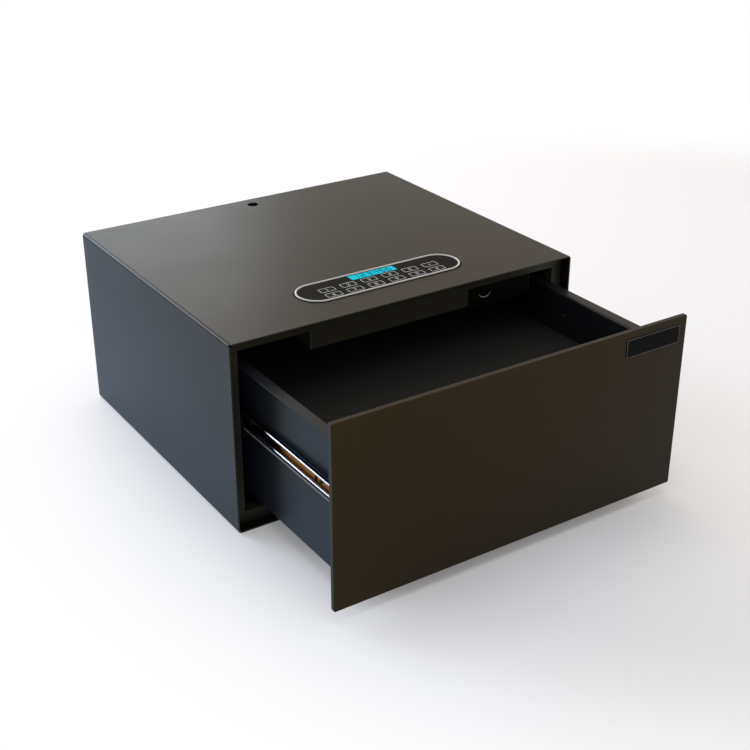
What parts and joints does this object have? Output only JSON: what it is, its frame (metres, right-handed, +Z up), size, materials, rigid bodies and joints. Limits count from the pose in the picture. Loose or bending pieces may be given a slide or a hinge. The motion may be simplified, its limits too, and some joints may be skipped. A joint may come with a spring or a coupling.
{
  "type": "under desk drawer safe",
  "caption": "Steel drawer safe with a keypad on top, its drawer on telescopic slides with a motor driven bolt and a raised inner floor.",
  "frame": {"origin": "under the middle of the whole object as it stands with its drawer out, on the floor", "axes": "+Z up, +Y from the drawer front to the back panel, +X to the right as seen from the front"},
  "size_m": [0.45, 0.577, 0.2266],
  "materials": {
    "bronze_paint": "satin powder coat",
    "black_plastic": "fine matt",
    "zinc_steel": "zinc plated",
    "grey_trim": "satin",
    "key_plastic": "rubber-like matt",
    "cyan_display": "glossy, lit",
    "green_board": "board lacquer",
    "dark_steel": "plain",
    "cell_jacket": "printed film"
  },
  "bodies": {
    "cabinet": {"outer_shell": "bronze_paint", "back_panel": "bronze_paint", "front_frame": "bronze_paint", "electronics_housing": "bronze_paint", "battery_box": "black_plastic", "battery_cell_1": "cell_jacket", "battery_cell_2": "cell_jacket", "battery_cell_3": "cell_jacket", "battery_cell_4": "cell_jacket", "keypad_bezel": "grey_trim", "keypad_body": "black_plastic", "display_window": "cyan_display", "display_module": "dark_steel", "keypad_board": "green_board", "lock_motor": "dark_steel", "slide_bracket_left": "zinc_steel", "cabinet_member_left": "zinc_steel", "slide_bracket_right": "zinc_steel", "cabinet_member_right": "zinc_steel", "slide_rivet_left_front": "zinc_steel", "slide_rivet_left_back": "zinc_steel", "slide_rivet_right_front": "zinc_steel", "slide_rivet_right_back": "zinc_steel"},
    "drawer": {"drawer_tray": "bronze_paint", "inner_floor": "bronze_paint", "drawer_front": "bronze_paint", "badge_plate": "black_plastic", "strike_plate": "zinc_steel", "drawer_member_left": "zinc_steel", "drawer_member_right": "zinc_steel", "slide_screw_left_front": "zinc_steel", "slide_screw_left_back": "zinc_steel", "slide_screw_right_front": "zinc_steel", "slide_screw_right_back": "zinc_steel", "front_screw_low_left": "zinc_steel", "front_screw_low_right": "zinc_steel", "front_screw_high_left": "zinc_steel", "front_screw_high_right": "zinc_steel", "tray_side_screw": "zinc_steel"},
    "lock_bolt": {"lock_bolt": "zinc_steel"},
    "battery_door": {"battery_door": "black_plastic"},
    "ball_cage_left": {"ball_cage_left": "zinc_steel"},
    "ball_cage_right": {"ball_cage_right": "zinc_steel"},
    "key_1": {"key_1": "key_plastic"},
    "key_2": {"key_2": "key_plastic"},
    "key_3": {"key_3": "key_plastic"},
    "key_4": {"key_4": "key_plastic"},
    "key_5": {"key_5": "key_plastic"},
    "key_star": {"key_star": "key_plastic"},
    "key_6": {"key_6": "key_plastic"},
    "key_7": {"key_7": "key_plastic"},
    "key_8": {"key_8": "key_plastic"},
    "key_9": {"key_9": "key_plastic"},
    "key_0": {"key_0": "key_plastic"},
    "key_hash": {"key_hash": "key_plastic"}
  },
  "joints": [
    {"name": "drawer_slide", "type": "slide", "parent": "cabinet", "child": "drawer", "axis": [0, -1, 0], "range_m": [-0.1985, 0.008]},
    {"name": "ball_cage_left_slide", "type": "slide", "parent": "cabinet", "child": "ball_cage_left", "axis": [0, -1, 0], "range_m": [-0.09925, 0.004]},
    {"name": "ball_cage_right_slide", "type": "slide", "parent": "cabinet", "child": "ball_cage_right", "axis": [0, -1, 0], "range_m": [-0.09925, 0.004]},
    {"name": "lock_bolt_slide", "type": "slide", "parent": "cabinet", "child": "lock_bolt", "axis": [0, 0, -1], "range_m": [0, 0.01]},
    {"name": "battery_door_pull", "type": "slide", "parent": "cabinet", "child": "battery_door", "axis": [0, -1, 0], "range_m": [0, 0.02]},
    {"name": "key_1_press", "type": "slide", "parent": "cabinet", "child": "key_1", "axis": [0, 0, -1], "range_m": [0, 0.0006], "stiffness_N_per_m": 1500},
    {"name": "key_2_press", "type": "slide", "parent": "cabinet", "child": "key_2", "axis": [0, 0, -1], "range_m": [0, 0.0006], "stiffness_N_per_m": 1500},
    {"name": "key_3_press", "type": "slide", "parent": "cabinet", "child": "key_3", "axis": [0, 0, -1], "range_m": [0, 0.0006], "stiffness_N_per_m": 1500},
    {"name": "key_4_press", "type": "slide", "parent": "cabinet", "child": "key_4", "axis": [0, 0, -1], "range_m": [0, 0.0006], "stiffness_N_per_m": 1500},
    {"name": "key_5_press", "type": "slide", "parent": "cabinet", "child": "key_5", "axis": [0, 0, -1], "range_m": [0, 0.0006], "stiffness_N_per_m": 1500},
    {"name": "key_star_press", "type": "slide", "parent": "cabinet", "child": "key_star", "axis": [0, 0, -1], "range_m": [0, 0.0006], "stiffness_N_per_m": 1500},
    {"name": "key_6_press", "type": "slide", "parent": "cabinet", "child": "key_6", "axis": [0, 0, -1], "range_m": [0, 0.0006], "stiffness_N_per_m": 1500},
    {"name": "key_7_press", "type": "slide", "parent": "cabinet", "child": "key_7", "axis": [0, 0, -1], "range_m": [0, 0.0006], "stiffness_N_per_m": 1500},
    {"name": "key_8_press", "type": "slide", "parent": "cabinet", "child": "key_8", "axis": [0, 0, -1], "range_m": [0, 0.0006], "stiffness_N_per_m": 1500},
    {"name": "key_9_press", "type": "slide", "parent": "cabinet", "child": "key_9", "axis": [0, 0, -1], "range_m": [0, 0.0006], "stiffness_N_per_m": 1500},
    {"name": "key_0_press", "type": "slide", "parent": "cabinet", "child": "key_0", "axis": [0, 0, -1], "range_m": [0, 0.0006], "stiffness_N_per_m": 1500},
    {"name": "key_hash_press", "type": "slide", "parent": "cabinet", "child": "key_hash", "axis": [0, 0, -1], "range_m": [0, 0.0006], "stiffness_N_per_m": 1500}
  ],
  "couplings": [
    {"joint": "ball_cage_left_slide", "follows": "drawer_slide", "ratio": 0.5},
    {"joint": "ball_cage_right_slide", "follows": "drawer_slide", "ratio": 0.5}
  ]
}
